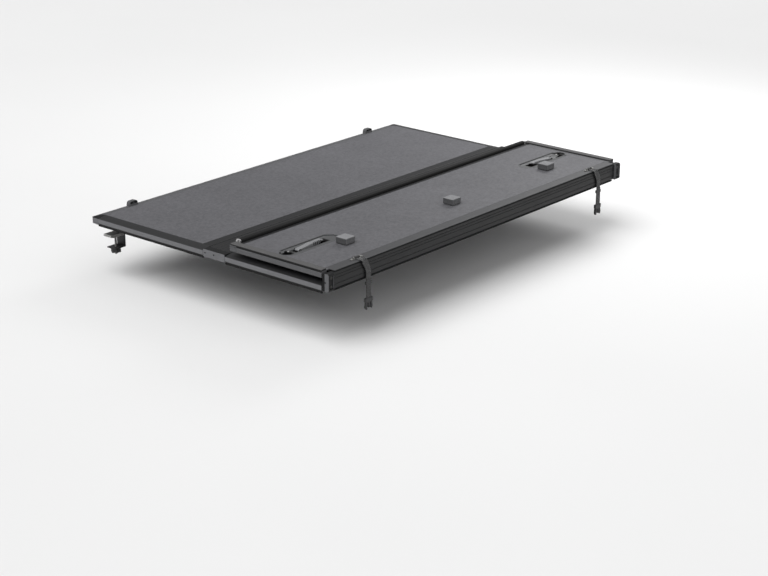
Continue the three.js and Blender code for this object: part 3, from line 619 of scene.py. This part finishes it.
def strap_mesh(sign, line):
    """The mesh of a strap whose single run is line."""
    bm = bmesh.new()
    uv = bm.loops.layers.uv.new("UVMap")
    section = ribbon_section(STRAP_WIDTH, STRAP_THICK)
    for run in (line, bar_ring(sign), doubled_line(sign)):
        rings = sweep(bm, run, section)
        length = 0.0
        lengths = [0.0]
        for a, b in zip(run, run[1:]):
            length += (b - a).length
            lengths.append(length)
        place = {}
        for ring_verts, at in zip(rings, lengths):
            for vert, (u, _) in zip(ring_verts, section):
                place[vert] = (u, at)
        for vert in place:
            for loop in vert.link_loops:
                loop[uv].uv = place[vert]
    bmesh.ops.recalc_face_normals(bm, faces=bm.faces)
    return finished(bm, "strap")


for side, sign in SIDES:
    line = strap_line(sign)
    strap = new_object(f"strap_webbing_{side}", strap_mesh(sign, line), webbing, None)
    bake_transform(strap)
    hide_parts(f"strap_root_{side}", f"strap_tail_{side}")

# ---- Screws ---------------------------------------------------------------------------------------------

# Radius and height of each kind of head.
ANCHOR_SCREW = (0.0048, 0.0026)
HINGE_SCREW = (0.003, 0.003)
POCKET_SCREW = (0.0055, 0.0026)
PIN_HEAD = (0.0042, 0.0014)
SOCKET = 0.48  # radius of the socket as a share of the head's
SOCKET_SIDES = 6
SCREW_STEPS = 24

ANCHOR_REACH = 0.025  # from the middle of a strap anchor out to its screws
ANCHOR_FACE = BAR.z - 0.0008
HINGE_FACE = 0.8785  # across, the outer faces of the hinge castings
FRONT_PIVOTS = (-0.5783, -0.6213)
FRONT_LEVEL = 0.0225
REAR_HINGE_AT = (-1.1446, 0.0425)
POCKET_AT = (0.863, -1.1572)
POCKET_LEVELS = (0.026, 0.059)
PIN_AT = (0.8, -0.9031, 0.0797)


def screw_mesh(radius, height, socket):
    """A screw head with a rounded rim and a socket, its face at z = 0 and its seat at z = -height."""
    bm = bmesh.new()
    profile = [
        (radius * 0.98, -height), (radius, -height * 0.55), (radius * 0.9, -height * 0.2),
        (radius * 0.66, -height * 0.04), (socket * 1.12, 0),
    ]
    angles = [2 * math.pi * i / SCREW_STEPS for i in range(SCREW_STEPS)]
    rings = [[bm.verts.new((r * math.cos(a), r * math.sin(a), z)) for a in angles] for r, z in profile]
    within = math.pi / SOCKET_SIDES
    for r_scale, z in ((1.0, -0.0003), (0.96, -height * 0.75)):
        ring = []
        for a in angles:
            flat = math.cos(within) / math.cos((a % (2 * within)) - within)
            r = socket * r_scale * flat
            ring.append(bm.verts.new((r * math.cos(a), r * math.sin(a), z)))
        rings.append(ring)
    loft(bm, rings)
    return finished(bm, "screw")


def place_screw(name, at, normal, size, body, material):
    """A screw or pin head with its face at a point and looking along a normal."""
    radius, height = size
    screw = new_object(name, screw_mesh(radius, height, radius * SOCKET), material, None)
    screw.matrix_world = Matrix.Translation(at) @ aimed(normal)
    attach(screw, body)


for side, sign in SIDES:
    out, up, back = (sign, 0, 0), (0, 0, 1), (0, -1, 0)
    for end, reach in (("inner", -ANCHOR_REACH), ("outer", ANCHOR_REACH)):
        at = Vector((sign * STRAP_X + sign * reach, BAR.y, ANCHOR_FACE))
        place_screw(f"strap_anchor_screw_{end}_{side}", at, up, ANCHOR_SCREW, "rear_panel", anchor_steel)
    for number, y in enumerate(FRONT_PIVOTS, 1):
        at = (sign * HINGE_FACE, y, FRONT_LEVEL)
        place_screw(f"front_hinge_screw_{number}_{side}", at, out, HINGE_SCREW, "front_hinge", black_screw)
    at = (sign * HINGE_FACE, *REAR_HINGE_AT)
    place_screw(f"rear_hinge_screw_{side}", at, out, HINGE_SCREW, "rear_hinge", black_screw)
    for number, z in enumerate(POCKET_LEVELS, 1):
        at = (sign * POCKET_AT[0], POCKET_AT[1], z)
        name = f"rear_hinge_pocket_screw_{number}_{side}"
        place_screw(name, at, back, POCKET_SCREW, "rear_hinge", black_screw)
    at = (sign * PIN_AT[0], *PIN_AT[1:])
    place_screw(f"clamp_pin_{side}", at, up, PIN_HEAD, f"rear_clamp_arm_{side}", screw_steel)

# ---- Bumpers --------------------------------------------------------------------------------------------

BUMPER_CORNER = 0.0035
BUMPER_CROWN = 0.0008


def foam_block(low, high):
    """A block of foam with crowned faces, soft corners and a waist that its glue line pulls in."""
    bm = bmesh.new()
    bmesh.ops.create_cube(bm, size=1)
    bmesh.ops.subdivide_edges(bm, edges=bm.edges, cuts=9, use_grid_fill=True)
    middle, half = (low + high) / 2, (high - low) / 2
    for vert in bm.verts:
        p = vert.co * 2
        inner = Vector([max(min(c, 1 - BUMPER_CORNER / h), BUMPER_CORNER / h - 1) for c, h in zip(p, half)])
        away = Vector([(c - i) * h for c, i, h in zip(p, inner, half)])
        if away.length > BUMPER_CORNER:
            away *= BUMPER_CORNER / away.length
        place = Vector([i * h for i, h in zip(inner, half)]) + away
        crown = (1 - p.x ** 4) * (1 - p.y ** 4)
        if p.z > 0.99:
            place.z -= BUMPER_CROWN * (1 - crown)
        pinch = 1 - 0.02 * (1 - abs(p.z)) - (0.018 if p.z < -0.7 else 0)
        place.x *= pinch
        place.y *= pinch
        vert.co = middle + place
    return finished(bm, "foam")


for name in ("left", "middle", "right"):
    node = f"bumper_{name}"
    low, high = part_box(node)
    block = new_object(f"foam_bumper_{name}", foam_block(low, high), foam, "rear_panel")
    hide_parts(node)

# ---- Light and floor ------------------------------------------------------------------------------------

FLOOR = -0.2
FLOOR_HALF = 40


def sun_light(name, azimuth, elevation, strength, softness):
    """A distant soft light. Azimuth 0 comes from -Y and 90 from +X."""
    data = bpy.data.lights.new(name, "SUN")
    data.energy = strength
    data.angle = math.radians(softness)
    light = bpy.data.objects.new(name, data)
    a, e = math.radians(azimuth), math.radians(elevation)
    source = Vector((math.sin(a) * math.cos(e), -math.cos(a) * math.cos(e), math.sin(e)))
    light.matrix_world = aimed(source)
    scene.collection.objects.link(light)


def soft_box(name, at, towards, size, power):
    """A round lamp at a point, facing another."""
    data = bpy.data.lights.new(name, "AREA")
    data.shape = "DISK"
    data.size = size
    data.energy = power
    light = bpy.data.objects.new(name, data)
    light.matrix_world = Matrix.Translation(at) @ aimed(Vector(at) - Vector(towards))
    scene.collection.objects.link(light)


sun_light("key", -100, 55, 3.0, 55)
sun_light("fill", 10, 24, 0.9, 70)
soft_box("side", (2.3, -0.4, 1.7), (0.6, -0.6, 0.0), 1.4, 27)

world = bpy.data.worlds.new("world")
scene.world = world
world.use_nodes = True
background = world.node_tree.nodes["Background"]
background.inputs["Color"].default_value = (1, 1, 1, 1)
background.inputs["Strength"].default_value = 0.3

floor_surface = Surface("floor", roughness=0.9, specular=0.2)
floor_surface.colour(floor_surface.grey(floor_surface.ramp(floor_surface.noise(0.6, 2), 0.7, 0.74)))
floor_mesh = bpy.data.meshes.new("floor")
corners = [(x * FLOOR_HALF, y * FLOOR_HALF, FLOOR) for x, y in ((-1, -1), (1, -1), (1, 1), (-1, 1))]
floor_mesh.from_pydata(corners, [], [(0, 1, 2, 3)])
floor = bpy.data.objects.new("floor", floor_mesh)
floor_mesh.materials.append(floor_surface.material)
scene.collection.objects.link(floor)
